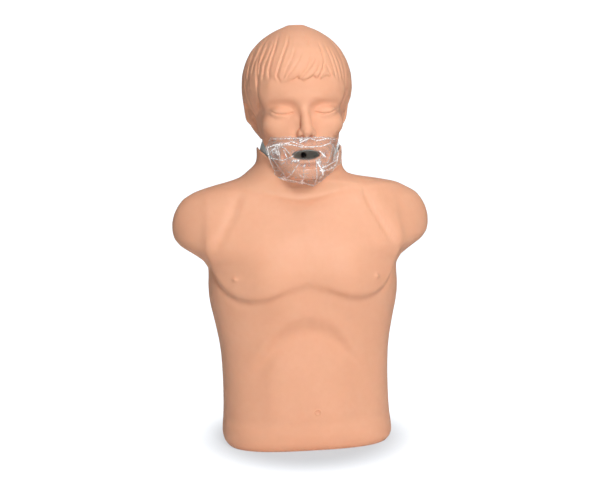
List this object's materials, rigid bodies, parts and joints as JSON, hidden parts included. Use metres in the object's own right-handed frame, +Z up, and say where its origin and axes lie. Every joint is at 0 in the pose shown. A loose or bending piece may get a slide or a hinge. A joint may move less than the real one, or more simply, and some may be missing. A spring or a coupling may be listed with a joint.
{
  "type": "cpr training manikin",
  "caption": "Head-and-torso resuscitation training manikin with a sprung chest, a head that tips and turns on a ball-shaped neck, and a clear film over the mouth.",
  "frame": {"origin": "middle of the flat base at the waist, where the manikin stands", "axes": "+Z up to the top of the head, the manikin faces -Y, +X to the viewer's right seen from the front"},
  "size_m": [0.432, 0.2351, 0.695],
  "materials": {
    "skin_vinyl": "matte soft vinyl, warm peach tan, the same on skin and moulded hair",
    "neck_plastic": "smooth hard plastic, pale blue-grey",
    "mouth_lining": "dull dark grey plastic",
    "clear_film": "thin clear crumpled film, glossy",
    "lung_film": "thin milky film",
    "base_plastic": "dark textured plastic",
    "socket_plastic": "white-grey moulded plastic",
    "plate_plastic": "off-white moulded plastic",
    "core_plastic": "rigid light foam, cream",
    "foam": "open soft foam, cream",
    "frame_steel": "grey painted sheet steel",
    "steel": "plain zinc-plated steel"
  },
  "bodies": {
    "torso": {"torso_skin": "skin_vinyl", "base_plate": "base_plastic", "base_screws": "steel", "torso_foam": "foam", "back_frame": "frame_steel", "neck_socket": "socket_plastic", "socket_screws": "steel", "retainer_ring": "socket_plastic", "retainer_screws": "steel", "guide_tube": "socket_plastic", "guide_screws": "steel", "airway_hose": "lung_film", "press_spring": "steel"},
    "neck": {"neck_ball": "neck_plastic", "nod_axle": "steel", "airway_sleeve": "lung_film"},
    "head": {"head_skin": "skin_vinyl", "skull_core": "core_plastic", "head_stem": "socket_plastic", "stem_bolt": "steel", "mouth_liner": "mouth_lining", "face_shield": "clear_film"},
    "chest": {"chest_plate": "plate_plastic", "plate_screws": "steel", "plunger": "socket_plastic", "lung_bag": "lung_film"}
  },
  "joints": [
    {"name": "neck_turn", "type": "hinge", "parent": "torso", "child": "neck", "pos_m": [0, 0.005, 0.48], "axis": [0, 0, 1], "range_deg": [-15, 15]},
    {"name": "head_tilt", "type": "hinge", "parent": "neck", "child": "head", "pos_m": [0, 0.005, 0.48], "axis": [-1, 0, 0], "range_deg": [-5, 35]},
    {"name": "chest_press", "type": "slide", "parent": "torso", "child": "chest", "axis": [0, 1, 0], "range_m": [0, 0.05], "stiffness_N_per_m": 6000, "springref_m": -0.005, "deforming": ["press_spring"]}
  ]
}
